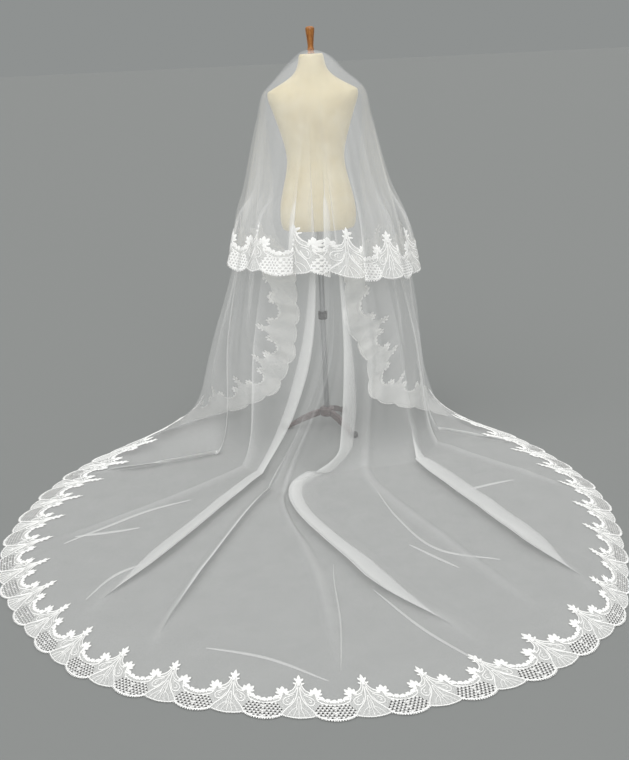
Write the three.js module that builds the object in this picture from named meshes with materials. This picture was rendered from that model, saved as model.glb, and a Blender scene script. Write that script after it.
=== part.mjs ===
// A two-tier bridal veil of soft tulle with a scalloped lace edging, draped over a limbless dress form
// on a tripod stand, its round train spread on the floor. Millimetres, +Z up. The form's back faces -Y.
// Every position below is measured from the form's own axis at floor level; the last lines of the file
// move the whole group so that its origin is the middle of its footprint.
import * as THREE from 'three';

// Cloth and lace sizes
const TULLE_WALL = 1.0;
const LACE_WALL = 1.6;
const SEAM_GAP = 0.3;
const LACE_SEAM_GAP = 0.5;
const LACE_REPEAT = 184;
const LACE_CLEARANCE = 187;

// The train's outline on the floor: a slightly squared circle
const TRAIN = { x: -75, y: -960, across: 1010, along: 1035 };
const TRAIN_SQUARENESS = { leftBack: 2.5, rightBack: 2.4, leftFront: 1.84, rightFront: 2.33 };

// Dress form and stand
const NECK_TOP_Z = 1480.9;
const TORSO_BOTTOM_Z = 830;
const TORSO_SIDES = 32;
const TORSO_SQUARENESS = 2.25;
const POLE_RADIUS = 11;
const HUB = { radius: 30, bottom: 46, top: 84 };
const COLLAR = { radius: 18, middle: 475, half: 16 };
const KNOB = { radius: 13, length: 16 };
const FOOT = { reach: 178, radius: 15, height: 20 };
const LEG = { width: 15, height: 17, rise: 30 };
const LEG_DIRECTIONS = { leg_left: 186, leg_right: 66, leg_back: -54 };

const MATERIALS = {
  tulle: cloth(0xf4f4f2, 0.85),
  lace: cloth(0xfdfcf8, 0.9),
  linen: cloth(0xe9e2c8, 0.95),
  wood: cloth(0xb8773a, 0.5),
  steel: new THREE.MeshStandardMaterial({ color: 0x9a9c9e, roughness: 0.35, metalness: 0.9 }),
  iron: new THREE.MeshStandardMaterial({ color: 0x2b2628, roughness: 0.55, metalness: 0.3 }),
};

function cloth(color, roughness) {
  return new THREE.MeshStandardMaterial({ color, roughness, metalness: 0 });
}

// Torso sections from the bottom rim to the neck: height, half width, and reach to the front and the back
const TORSO_SECTIONS = [
  { z: TORSO_BOTTOM_Z, half: 140, front: 92, back: 106 },
  { z: 850, half: 147, front: 98, back: 114 },
  { z: 890, half: 150, front: 101, back: 117 },
  { z: 950, half: 142, front: 99, back: 113 },
  { z: 1020, half: 122, front: 93, back: 98 },
  { z: 1090, half: 107, front: 86, back: 84 },
  { z: 1150, half: 116, front: 99, back: 87 },
  { z: 1225, half: 139, front: 127, back: 95 },
  { z: 1285, half: 158, front: 112, back: 98 },
  { z: 1325, half: 174, front: 86, back: 91 },
  { z: 1348, half: 171, front: 68, back: 80 },
  { z: 1366, half: 140, front: 56, back: 72 },
  { z: 1388, half: 96, front: 49, back: 64 },
  { z: 1415, half: 62, front: 46, back: 57 },
  { z: 1445, half: 50, front: 45, back: 51 },
  { z: 1472, half: 47, front: 44, back: 48 },
  { z: NECK_TOP_Z, half: 43, front: 40, back: 44 },
];

// Where the cloth leaves the form, from the front of the left shoulder over the neck to the right one:
// the crest it lies on, the turn over it, and the first free line below it
const SUPPORT = [
  { hang: -1.0, crest: [-160, 56, 1346], over: [-176, 72, 1332], blade: [-182, 102, 1240] },
  { hang: -0.8, crest: [-176, 4, 1355], over: [-186, 4, 1341], blade: [-212, 4, 1240] },
  { hang: -0.55, crest: [-113, -9, 1413], over: [-120, -52, 1394], blade: [-142, -108, 1270] },
  { hang: -0.25, crest: [-46, -20, 1481.6], over: [-49, -64, 1466], blade: [-62, -122, 1280] },
  { hang: 0.25, crest: [46, -20, 1481.6], over: [49, -64, 1466], blade: [62, -122, 1280] },
  { hang: 0.55, crest: [118, -9, 1416], over: [125, -52, 1396], blade: [142, -108, 1270] },
  { hang: 0.8, crest: [184, 4, 1357], over: [196, 4, 1343], blade: [216, 4, 1240] },
  { hang: 1.0, crest: [164, 56, 1347], over: [180, 72, 1332], blade: [186, 102, 1240] },
];

// The long tier, a row for each fold or turn from the left front edge round the back to the right one.
// knee, foot and mid are points down the cloth, edge is its lace edge (or the angle on the train's outline).
// pleat is how far the fold stands out while it hangs, ridge how high it stands on the floor, lean its tilt.
const LONG_ROWS = [
  { name: 'left fold end', hang: -1, knee: [-172, 142, 1010], foot: [-180, 176, 880], mid: [-178, 198, 790],
    edge: [-105, 220, 600], pleat: 0, ridge: 0, lean: 0 },
  { name: 'left drop', hang: -0.97, knee: [-214, 142, 900], foot: [-266, 172, 660], mid: [-292, 196, 490],
    edge: [-100, 230, 425], pleat: 0, ridge: 0, lean: 0 },
  { name: 'left turn', hang: -0.94, knee: [-240, 134, 850], foot: [-300, 182, 510], mid: [-308, 208, 318],
    edge: [-140, 242, 208], pleat: 12, ridge: 10, lean: 0 },
  { name: 'left sweep', hang: -0.9, knee: [-270, 116, 800], foot: [-352, 170, 420], mid: [-370, 198, 215],
    edge: [-232, 242, 64], pleat: 0, ridge: 0, lean: 0 },
  { name: 'left touch', hang: -0.86, knee: [-302, 76, 740], foot: [-430, 105, 330], mid: [-464, 118, 180],
    edge: [-432, 206, 0], pleat: 12, ridge: 10, lean: 0 },
  { name: 'left side', hang: -0.81, knee: [-344, 10, 670], foot: [-474, 10, 300], mid: [-518, 12, 140],
    edge: [-660, 40, 0], pleat: 0, ridge: 0, lean: 0 },
  { name: 'left ridge', hang: -0.7, knee: [-352, -150, 480], foot: [-432, -262, 0], mid: [-700, -372, 0],
    edge: 153, pleat: 18, ridge: 34, lean: -22 },
  { name: 'left panel', hang: -0.5, knee: [-255, -262, 460], foot: [-330, -412, 0], mid: [-640, -730, 0],
    edge: 188, pleat: 16, ridge: 14, lean: 0 },
  { name: 'left train fold', hang: -0.18, knee: [-105, -348, 440], foot: [-226, -505, 0], mid: [-500, -1010, 0],
    edge: 222, pleat: 34, ridge: 44, lean: -34 },
  { name: 'second train fold', hang: -0.06, knee: [-38, -372, 430], foot: [-188, -630, 0], mid: [-396, -1200, 0],
    edge: 240, pleat: 26, ridge: 40, lean: -20 },
  { name: 'centre crease', hang: 0.02, knee: [18, -378, 430], foot: [-88, -660, 0], mid: [-50, -1290, 0],
    edge: 274, pleat: 14, ridge: 18, lean: 0 },
  { name: 'centre train fold', hang: 0.1, knee: [76, -372, 420], foot: [0, -590, 0], mid: [92, -1230, 0],
    edge: 302, pleat: 36, ridge: 44, lean: 26 },
  { name: 'right crease', hang: 0.28, knee: [170, -345, 430], foot: [150, -480, 0], mid: [360, -1090, 0],
    edge: 315, pleat: 18, ridge: 20, lean: 0 },
  { name: 'right train fold', hang: 0.48, knee: [275, -282, 440], foot: [336, -420, 0], mid: [590, -1030, 0],
    edge: 328, pleat: 28, ridge: 44, lean: 34 },
  { name: 'right panel', hang: 0.62, knee: [336, -180, 450], foot: [424, -262, 0], mid: [690, -560, 0],
    edge: 5, pleat: 12, ridge: 16, lean: 0 },
  { name: 'right ridge', hang: 0.72, knee: [362, -70, 450], foot: [440, -110, 0], mid: [640, -250, 0],
    edge: 33, pleat: 16, ridge: 24, lean: 0 },
  { name: 'right side', hang: 0.81, knee: [360, 26, 590], foot: [406, 18, 230], mid: [462, 0, 70],
    edge: [640, -96, 0], pleat: 0, ridge: 0, lean: 0 },
  { name: 'right touch', hang: 0.86, knee: [332, 84, 700], foot: [372, 124, 350], mid: [382, 142, 196],
    edge: [346, 166, 0], pleat: 12, ridge: 10, lean: 0 },
  { name: 'right sweep', hang: 0.9, knee: [292, 120, 760], foot: [330, 176, 400], mid: [330, 196, 190],
    edge: [202, 224, 26], pleat: 0, ridge: 0, lean: 0 },
  { name: 'right turn', hang: 0.94, knee: [252, 136, 820], foot: [304, 188, 490], mid: [316, 204, 340],
    edge: [168, 236, 214], pleat: 12, ridge: 10, lean: 0 },
  { name: 'right drop', hang: 0.97, knee: [218, 144, 890], foot: [262, 178, 640], mid: [276, 202, 460],
    edge: [92, 232, 366], pleat: 0, ridge: 0, lean: 0 },
  { name: 'right fold end', hang: 1, knee: [174, 144, 1010], foot: [182, 178, 870], mid: [180, 200, 772],
    edge: [98, 222, 585], pleat: 0, ridge: 0, lean: 0 },
];

// The short tier, a row for each flute: belly is a point half way down, edge its lace hem
const SHORT_ROWS = [
  { name: 'left fold', hang: -1, belly: [-180, 172, 980], mid: [-188, 206, 816], edge: [-110, 236, 630],
    pleat: 0 },
  { name: 'left front', hang: -0.93, belly: [-240, 146, 990], mid: [-290, 200, 870], edge: [-250, 246, 680],
    pleat: 14 },
  { name: 'left side', hang: -0.82, belly: [-280, 24, 990], mid: [-311, 30, 895], edge: [-349, 50, 702],
    pleat: 6 },
  { name: 'left quarter', hang: -0.66, belly: [-238, -150, 990], mid: [-286, -186, 915], edge: [-334, -222, 728],
    pleat: 14 },
  { name: 'left back', hang: -0.42, belly: [-160, -228, 990], mid: [-200, -280, 918], edge: [-240, -334, 730],
    pleat: 20 },
  { name: 'left pleat', hang: -0.16, belly: [-74, -246, 990], mid: [-92, -308, 914], edge: [-110, -366, 724],
    pleat: 26 },
  { name: 'centre pleat', hang: 0.08, belly: [26, -248, 990], mid: [28, -310, 906], edge: [22, -370, 716],
    pleat: 26 },
  { name: 'right pleat', hang: 0.34, belly: [128, -240, 990], mid: [146, -296, 880], edge: [158, -352, 688],
    pleat: 24 },
  { name: 'right back', hang: 0.58, belly: [210, -190, 990], mid: [258, -238, 860], edge: [296, -286, 672],
    pleat: 18 },
  { name: 'right quarter', hang: 0.74, belly: [262, -84, 990], mid: [330, -106, 848], edge: [368, -128, 658],
    pleat: 14 },
  { name: 'right side', hang: 0.86, belly: [276, 60, 990], mid: [338, 84, 832], edge: [368, 108, 640],
    pleat: 14 },
  { name: 'right front', hang: 0.94, belly: [240, 150, 980], mid: [288, 206, 816], edge: [244, 250, 628],
    pleat: 14 },
  { name: 'right fold', hang: 1, belly: [182, 174, 970], mid: [188, 208, 796], edge: [104, 238, 604],
    pleat: 0 },
];

// One repeat of the lace: how far its inner contour and its scalloped edge lie from the cloth's outer line.
// opening gives the clear slot in the fan; equal ends mean that it is closed there.
const LACE = [
  { at: 0, inner: 78, outer: 0, opening: [36, 36] },
  { at: 0.13, inner: 82, outer: 4, opening: [36, 36] },
  { at: 0.26, inner: 128, outer: 15, opening: [36, 36] },
  { at: 0.4, inner: 92, outer: 8, opening: [42, 42] },
  { at: 0.5, inner: 175, outer: 6, opening: [24, 62] },
  { at: 0.6, inner: 92, outer: 8, opening: [42, 42] },
  { at: 0.74, inner: 128, outer: 15, opening: [36, 36] },
  { at: 0.87, inner: 82, outer: 4, opening: [36, 36] },
];

const vec = ([x, y, z]) => new THREE.Vector3(x, y, z);
const curve = (points) => new THREE.CatmullRomCurve3(points, false, 'centripetal');
const degrees = (angle) => angle * Math.PI / 180;
const smooth = (x) => THREE.MathUtils.smoothstep(x, 0, 1);

function trainEdge(angle) {
  const c = Math.cos(degrees(angle));
  const s = Math.sin(degrees(angle));
  const quarter = (c < 0 ? 'left' : 'right') + (s > 0 ? 'Back' : 'Front');
  const power = 2 / TRAIN_SQUARENESS[quarter];
  return new THREE.Vector3(
    TRAIN.x + TRAIN.across * Math.sign(c) * Math.abs(c) ** power,
    TRAIN.y + TRAIN.along * Math.sign(s) * Math.abs(s) ** power, 0);
}

// A point on the crest, the turn or the blade line at a place along the support
function supportPoint(line, hang) {
  const last = SUPPORT.length - 1;
  let i = SUPPORT.findIndex((row) => row.hang >= hang);
  i = Math.max(1, i);
  const share = (hang - SUPPORT[i - 1].hang) / (SUPPORT[i].hang - SUPPORT[i - 1].hang);
  return curve(SUPPORT.map((row) => vec(row[line]))).getPoint((i - 1 + share) / last);
}

// A tier of cloth. levels are the lines across it, crest first and lace edge last. stand(row, t) is how far
// the fold of a row stands out at level t, and width its half width.
class Tier {
  constructor(rows, levels, stand, width, lift) {
    Object.assign(this, { rows, stand, width });
    this.levels = levels.map((line) => curve(rows.map((row) => this.control(row, line, lift))));
    this.lastLevel = levels.length - 1;
    this.lastRow = rows.length - 1;
  }

  control(row, line, lift) {
    if (row[line] === undefined) return supportPoint(line, row.hang).add(vec(lift[line]
      .map((size, axis) => (axis === 0 ? Math.sign(row.hang) * size * Math.abs(row.hang) : size))));
    return Array.isArray(row[line]) ? vec(row[line]) : trainEdge(row[line]);
  }

  // The smooth cloth without its folds, at row q and level t
  base(q, t) {
    const across = THREE.MathUtils.clamp(q / this.lastRow, 0, 1);
    const down = curve(this.levels.map((level) => level.getPoint(across)));
    const point = down.getPoint(THREE.MathUtils.clamp(t / this.lastLevel, 0, 1));
    point.z = Math.max(point.z, 0);
    return point;
  }

  // Millimetres across the cloth for each row step at this place
  spacing(k, t) {
    return this.base(k, t).distanceTo(this.base(k + 1, t));
  }

  // Directions down and across a surface given as a function of q and t
  frame(surface, q, t) {
    const dq = 0.02;
    const dt = 0.02;
    const t0 = Math.max(t - dt, 0);
    const t1 = Math.min(t + dt, this.lastLevel);
    const q0 = Math.max(q - dq, 0);
    const q1 = Math.min(q + dq, this.lastRow);
    const across = surface(q1, t).sub(surface(q0, t)).normalize();
    const down = surface(q, t1).sub(surface(q, t0)).normalize();
    return { across, out: down.cross(across).normalize() };
  }

  // The cloth with its folds
  point(q, t) {
    const k = Math.min(Math.floor(q), this.lastRow - 1);
    const point = this.base(q, t);
    const { across, out } = this.frame((a, b) => this.base(a, b), q, t);
    const gap = this.spacing(k, t);
    for (const [row, offset] of [[this.rows[k], (q - k) * gap], [this.rows[k + 1], (q - k - 1) * gap]]) {
      const width = Math.min(this.width(row, t), 0.48 * gap);
      const x = Math.abs(offset) / width;
      if (x >= 1) continue;
      const share = (1 + Math.cos(Math.PI * x)) / 2;
      const { height, lean } = this.stand(row, t);
      point.addScaledVector(out, height * share).addScaledVector(across, lean * share ** 1.5);
    }
    point.z = Math.max(point.z, 0);
    return point;
  }

  normal(q, t) {
    return this.frame((a, b) => this.point(a, b), q, t).out;
  }

  // Row places of the columns at level t: five on each fold and one between neighbours
  columns(t) {
    const places = [];
    for (let k = 0; k <= this.lastRow; k += 1) {
      const row = this.rows[k];
      const fold = row.pleat > 0;
      const sides = fold ? [-1, -0.5, 0, 0.5, 1] : [0];
      for (const side of sides) {
        const gap = this.spacing(side < 0 ? k - 1 : Math.min(k, this.lastRow - 1), t);
        places.push(k + side * Math.min(this.width(row, t) / gap, 0.48));
      }
      if (k < this.lastRow && !(fold && this.rows[k + 1].pleat > 0)) places.push(k + 0.5);
    }
    return places.sort((a, b) => a - b);
  }

  // The level that lies a distance in from the lace edge
  inset(q, distance) {
    const length = this.base(q, this.lastLevel - 1).distanceTo(this.base(q, this.lastLevel));
    return this.lastLevel - distance / length;
  }

  // Row places spaced evenly along the lace edge, with the lace's own sizes at each
  laceStations() {
    const fine = 40;
    const count = this.lastRow * fine;
    const along = [0];
    for (let i = 1; i <= count; i += 1) {
      const step = this.base(i / fine, this.lastLevel).distanceTo(this.base((i - 1) / fine, this.lastLevel));
      along.push(along[i - 1] + step);
    }
    const repeats = Math.round(along[count] / LACE_REPEAT);
    const stations = [];
    for (let i = 0; i <= repeats * LACE.length; i += 1) {
      const { at, ...sizes } = LACE[i % LACE.length];
      const target = (Math.floor(i / LACE.length) + at) / repeats * along[count];
      const j = Math.min(Math.max(along.findIndex((s) => s >= target), 1), count);
      const share = (target - along[j - 1]) / (along[j] - along[j - 1]);
      stations.push({ q: Math.min((j - 1 + share) / fine, this.lastRow), along: target, ...sizes });
    }
    return stations;
  }
}

// A wall of even thickness from strips of points: faces is a list of triangles on the inner side
class Wall {
  constructor(tier, thickness) {
    Object.assign(this, { tier, thickness, inner: [], outer: [], faces: [] });
  }

  add(q, t) {
    const point = this.tier.point(q, t);
    this.inner.push(point);
    const outer = point.clone().addScaledVector(this.tier.normal(q, t), this.thickness);
    outer.z = Math.max(outer.z, 0);
    this.outer.push(outer);
    return this.inner.length - 1;
  }

  // Two triangles between points of a strip, a and b above, c and d below
  quad(a, b, c, d) {
    this.faces.push([a, c, b], [b, c, d]);
  }

  // Triangles between an upper and a lower line of points with sorted row places
  zip(upper, lower) {
    let i = 0;
    let j = 0;
    while (i < upper.length - 1 || j < lower.length - 1) {
      const takeLower = i === upper.length - 1
        || (j < lower.length - 1 && lower[j + 1].q - upper[i].q <= upper[i + 1].q - lower[j].q);
      if (takeLower) {
        this.faces.push([upper[i].id, lower[j].id, lower[j + 1].id]);
        j += 1;
      } else {
        this.faces.push([upper[i].id, lower[j].id, upper[i + 1].id]);
        i += 1;
      }
    }
  }

  // The closed shell: the outer skin, the inner skin turned over, and a rim on every open side
  geometry() {
    const count = this.inner.length;
    const triangles = [];
    const rims = new Map();
    for (const [a, b, c] of this.faces) {
      triangles.push(a + count, b + count, c + count, a, c, b);
      for (const [p, q] of [[a, b], [b, c], [c, a]]) {
        const back = `${q}-${p}`;
        if (rims.has(back)) rims.delete(back);
        else rims.set(`${p}-${q}`, [p, q]);
      }
    }
    for (const [p, q] of rims.values()) triangles.push(p, q, q + count, p, q + count, p + count);
    const positions = [...this.inner, ...this.outer].flatMap((point) => point.toArray());
    const geometry = new THREE.BufferGeometry();
    geometry.setAttribute('position', new THREE.Float32BufferAttribute(positions, 3));
    geometry.setIndex(triangles);
    return geometry;
  }
}

// The tulle of a tier, from its crest to the lace's inner contour
function tullePanel(tier, stations, steps) {
  const wall = new Wall(tier, TULLE_WALL);
  const levels = steps.flatMap((count, level) => Array.from({ length: count }, (_, i) => level + i / count));
  const laceLevel = tier.lastLevel - 1;
  const tops = stations.filter((_, i) => i % (LACE.length / 2) === 0).map(({ q }) => q);
  let above = null;
  for (const t of [...levels, tier.lastLevel]) {
    const nominal = Math.min(t, laceLevel + 0.75 * Math.max(t - laceLevel, 0));
    const places = t < tier.lastLevel ? tier.columns(nominal) : tops;
    const line = places.map((q) => {
      const reach = tier.inset(q, LACE_CLEARANCE) - laceLevel;
      const level = t > laceLevel ? laceLevel + reach * (t - laceLevel) : t;
      return { q, id: wall.add(q, level) };
    });
    if (above) wall.zip(above, line);
    above = line;
  }
  const seam = stations.map(({ q, inner, slope }) => {
    const gap = LACE_SEAM_GAP * Math.hypot(1, slope);
    return { q, id: wall.add(q, tier.inset(q, inner + gap)) };
  });
  wall.zip(above, seam);
  return wall.geometry();
}

// The lace edging of a tier, with a slot in each fan
function laceStrip(tier, stations) {
  const wall = new Wall(tier, LACE_WALL);
  let before = null;
  for (const { q, inner, outer, opening } of stations) {
    const open = opening[1] > opening[0];
    const upper = wall.add(q, tier.inset(q, opening[1]));
    const lower = open ? wall.add(q, tier.inset(q, opening[0])) : upper;
    const now = { top: wall.add(q, tier.inset(q, inner)), upper, lower, bottom: wall.add(q, tier.inset(q, outer)) };
    if (before) {
      wall.quad(before.top, now.top, before.upper, now.upper);
      wall.quad(before.lower, now.lower, before.bottom, now.bottom);
    }
    before = now;
  }
  return wall.geometry();
}

// The steepness of the lace's inner contour at each station
function withSlopes(stations) {
  return stations.map((station, i) => {
    const a = stations[Math.max(i - 1, 0)];
    const b = stations[Math.min(i + 1, stations.length - 1)];
    const rises = [[a, station], [station, b]].map(([p, n]) => (
      n.along > p.along ? Math.abs(n.inner - p.inner) / (n.along - p.along) : 0));
    return { ...station, slope: Math.max(...rises) };
  });
}

const LONG_LEVELS = ['crest', 'over', 'blade', 'knee', 'foot', 'mid', 'edge'];
const LONG_STEPS = [1, 1, 2, 3, 4, 3];
const SHORT_LEVELS = ['crest', 'over', 'blade', 'belly', 'mid', 'edge'];
const SHORT_STEPS = [1, 1, 2, 2, 1];
const LONG_LIFT = { crest: [0, 0, 0], over: [0, 0, 0], blade: [0, 0, 0] };
const SHORT_LIFT = { crest: [2, 1, 5], over: [5, -6, 4], blade: [9, -13, 0] };
const HANG_WIDTH = 46;
const FLOOR_WIDTH = 42;
const FADE = { from: 5.1, to: 5.72 };

// Folds of the long tier grow below the shoulders, turn into ridges at the foot and fade out at the lace
function longStand(row, t) {
  const hanging = smooth((t - 1.8) / 1.4);
  const floor = smooth((t - 3.4) / 0.9);
  const fade = 1 - smooth((t - FADE.from) / (FADE.to - FADE.from));
  const height = (row.pleat * hanging * (1 - floor) + row.ridge * floor) * fade;
  return { height, lean: row.lean * floor * fade };
}

function shortStand(row, t) {
  return { height: row.pleat * smooth((t - 1.5) / 2.6), lean: 0 };
}

const longWidth = (row, t) => THREE.MathUtils.lerp(HANG_WIDTH, FLOOR_WIDTH, smooth((t - 3) / 1));
const shortWidth = () => 58;

// A closed body through rings of points, each ring counter-clockwise seen from above, lowest first
function loft(rings) {
  const sides = rings[0].length;
  const points = [...rings.flat(), middle(rings[0]), middle(rings[rings.length - 1])];
  const bottom = points.length - 2;
  const top = points.length - 1;
  const triangles = [];
  for (let i = 0; i < sides; i += 1) {
    const j = (i + 1) % sides;
    for (let k = 0; k < rings.length - 1; k += 1) {
      const a = k * sides;
      const b = a + sides;
      triangles.push(a + i, a + j, b + j, a + i, b + j, b + i);
    }
    const last = (rings.length - 1) * sides;
    triangles.push(bottom, j, i, top, last + i, last + j);
  }
  const geometry = new THREE.BufferGeometry();
  geometry.setAttribute('position', new THREE.Float32BufferAttribute(points.flatMap((p) => p.toArray()), 3));
  geometry.setIndex(triangles);
  return geometry;
}

function middle(ring) {
  return ring.reduce((sum, p) => sum.add(p), new THREE.Vector3()).divideScalar(ring.length);
}

function torsoRing({ z, half, front, back }) {
  const power = 2 / TORSO_SQUARENESS;
  return Array.from({ length: TORSO_SIDES }, (_, i) => {
    const angle = 2 * Math.PI * i / TORSO_SIDES;
    const c = Math.cos(angle);
    const s = Math.sin(angle);
    const depth = s > 0 ? front : back;
    return new THREE.Vector3(half * Math.sign(c) * Math.abs(c) ** power,
      depth * Math.sign(s) * Math.abs(s) ** power, z);
  });
}

// A turned solid about the Z axis from [radius, height] pairs
function turned(profile, sides) {
  const points = profile.map(([r, z]) => new THREE.Vector2(r, z));
  return new THREE.LatheGeometry(points, sides).rotateX(Math.PI / 2);
}

function finialProfile() {
  const z = NECK_TOP_Z + SEAM_GAP;
  return [[0, z], [14, z], [14, z + 4], [10.5, z + 7], [13, z + 13], [13, z + 17], [10.5, z + 22],
    [11.5, z + 36], [15, z + 68], [18, z + 88], [16, z + 94], [10, z + 97], [0, z + 98]];
}

function collarProfile() {
  const bore = POLE_RADIUS + SEAM_GAP;
  const { radius, middle: z, half } = COLLAR;
  return [[bore, z - half], [radius, z - half], [radius, z + half], [bore, z + half], [bore, z - half]];
}

function knobGeometry() {
  const { radius, length } = KNOB;
  const profile = [[0, 0], [radius * 0.6, 0], [radius, 3], [radius, length - 3], [radius * 0.8, length], [0, length]];
  return turned(profile, 16).rotateX(Math.PI / 2)
    .translate(0, -COLLAR.radius - SEAM_GAP, COLLAR.middle);
}

function footGeometry() {
  const { reach, radius, height } = FOOT;
  return turned([[0, 0], [radius, 0], [radius, height - 4], [radius - 4, height], [0, height]], 16)
    .translate(reach, 0, 0);
}

// A leg arches down from the hub's side to its foot
function legGeometry() {
  const { width, height, rise } = LEG;
  const start = HUB.radius + SEAM_GAP;
  const end = FOOT.reach - FOOT.radius - SEAM_GAP;
  const bottom = 2;
  const outline = new THREE.Shape();
  outline.moveTo(start, HUB.bottom + 4);
  outline.lineTo(start, HUB.bottom + 4 + height + 8);
  outline.quadraticCurveTo((start + end) / 2, HUB.bottom + rise * 0.6, end, bottom + height * 0.8);
  outline.lineTo(end, bottom);
  outline.quadraticCurveTo((start + end) / 2, bottom + rise, start, HUB.bottom + 4);
  const geometry = new THREE.ExtrudeGeometry(outline, { depth: width, bevelEnabled: false, curveSegments: 6 });
  return geometry.translate(0, 0, -width / 2).rotateX(Math.PI / 2);
}

const group = new THREE.Group();

function place(name, geometry, material, turn = 0) {
  const mesh = new THREE.Mesh(geometry, material);
  mesh.name = name;
  mesh.rotation.z = degrees(turn);
  group.add(mesh);
}

// Dress form and stand
place('form_torso', loft(TORSO_SECTIONS.map(torsoRing)), MATERIALS.linen);
place('form_finial', turned(finialProfile(), 20), MATERIALS.wood);
place('stand_pole', turned([[0, HUB.top + SEAM_GAP], [POLE_RADIUS, HUB.top + SEAM_GAP],
  [POLE_RADIUS, TORSO_BOTTOM_Z - SEAM_GAP], [0, TORSO_BOTTOM_Z - SEAM_GAP]], 20), MATERIALS.steel);
place('stand_collar', turned(collarProfile(), 20), MATERIALS.iron);
place('stand_knob', knobGeometry(), MATERIALS.iron);
place('stand_hub', turned([[0, HUB.bottom], [HUB.radius - 6, HUB.bottom], [HUB.radius, HUB.bottom + 6],
  [HUB.radius, HUB.top - 6], [HUB.radius - 8, HUB.top], [0, HUB.top]], 24), MATERIALS.iron);
for (const [name, direction] of Object.entries(LEG_DIRECTIONS)) {
  place(`stand_${name}`, legGeometry(), MATERIALS.iron, direction);
  place(`stand_foot_${name.slice(4)}`, footGeometry(), MATERIALS.iron, direction);
}

// Veil
const longTier = new Tier(LONG_ROWS, LONG_LEVELS, longStand, longWidth, LONG_LIFT);
const shortTier = new Tier(SHORT_ROWS, SHORT_LEVELS, shortStand, shortWidth, SHORT_LIFT);
const longStations = withSlopes(longTier.laceStations());
const shortStations = withSlopes(shortTier.laceStations());
place('long_tier_tulle', tullePanel(longTier, longStations, LONG_STEPS), MATERIALS.tulle);
place('long_tier_lace', laceStrip(longTier, longStations), MATERIALS.lace);
place('short_tier_tulle', tullePanel(shortTier, shortStations, SHORT_STEPS), MATERIALS.tulle);
place('short_tier_lace', laceStrip(shortTier, shortStations), MATERIALS.lace);

// The origin is the middle of the footprint, on the floor
const box = new THREE.Box3().setFromObject(group);
const centre = box.getCenter(new THREE.Vector3());
group.position.set(-centre.x, -centre.y, -box.min.z);
group.updateMatrixWorld(true);

export default group;
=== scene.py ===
import math
import bpy
import numpy as np
from mathutils import Matrix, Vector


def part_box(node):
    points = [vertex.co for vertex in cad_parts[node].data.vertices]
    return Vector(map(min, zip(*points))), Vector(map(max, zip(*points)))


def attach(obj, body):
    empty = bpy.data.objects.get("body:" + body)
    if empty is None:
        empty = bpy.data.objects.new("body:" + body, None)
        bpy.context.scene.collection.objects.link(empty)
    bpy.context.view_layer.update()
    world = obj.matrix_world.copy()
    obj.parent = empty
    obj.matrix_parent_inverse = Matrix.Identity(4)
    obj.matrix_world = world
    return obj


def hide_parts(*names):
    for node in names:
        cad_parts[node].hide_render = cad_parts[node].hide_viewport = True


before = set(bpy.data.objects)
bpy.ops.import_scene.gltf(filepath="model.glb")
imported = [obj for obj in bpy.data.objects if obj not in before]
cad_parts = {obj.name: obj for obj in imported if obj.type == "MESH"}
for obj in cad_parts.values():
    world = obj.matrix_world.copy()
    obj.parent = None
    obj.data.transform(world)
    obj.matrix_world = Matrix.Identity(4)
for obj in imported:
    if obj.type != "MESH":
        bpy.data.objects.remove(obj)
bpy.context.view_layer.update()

# Cloth sizes are in millimetres from the form's own axis at floor level
pole_low, pole_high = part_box("stand_pole")
FORM_AXIS = np.array([(pole_low[0] + pole_high[0]) / 2, (pole_low[1] + pole_high[1]) / 2, 0.0])
MM = 0.001

# The train's outline on the floor, a slightly squared circle
TRAIN_X, TRAIN_Y, TRAIN_ACROSS, TRAIN_ALONG = -75, -960, 1010, 1035
SQUARE_LEFT_BACK, SQUARE_RIGHT_BACK, SQUARE_LEFT_FRONT, SQUARE_RIGHT_FRONT = 2.5, 2.4, 1.84, 2.33

# Where the cloth leaves the form: place, crest, turn and first free line
SUPPORT = [
    (-1.0, (-160, 56, 1346), (-176, 72, 1332), (-182, 102, 1240)),
    (-0.8, (-176, 4, 1355), (-186, 4, 1341), (-212, 4, 1240)),
    (-0.55, (-113, -9, 1413), (-120, -52, 1394), (-142, -108, 1270)),
    (-0.25, (-46, -20, 1481.6), (-49, -64, 1466), (-62, -122, 1280)),
    (0.25, (46, -20, 1481.6), (49, -64, 1466), (62, -122, 1280)),
    (0.55, (118, -9, 1416), (125, -52, 1396), (142, -108, 1270)),
    (0.8, (184, 4, 1357), (196, 4, 1343), (216, 4, 1240)),
    (1.0, (164, 56, 1347), (180, 72, 1332), (186, 102, 1240)),
]

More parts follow.
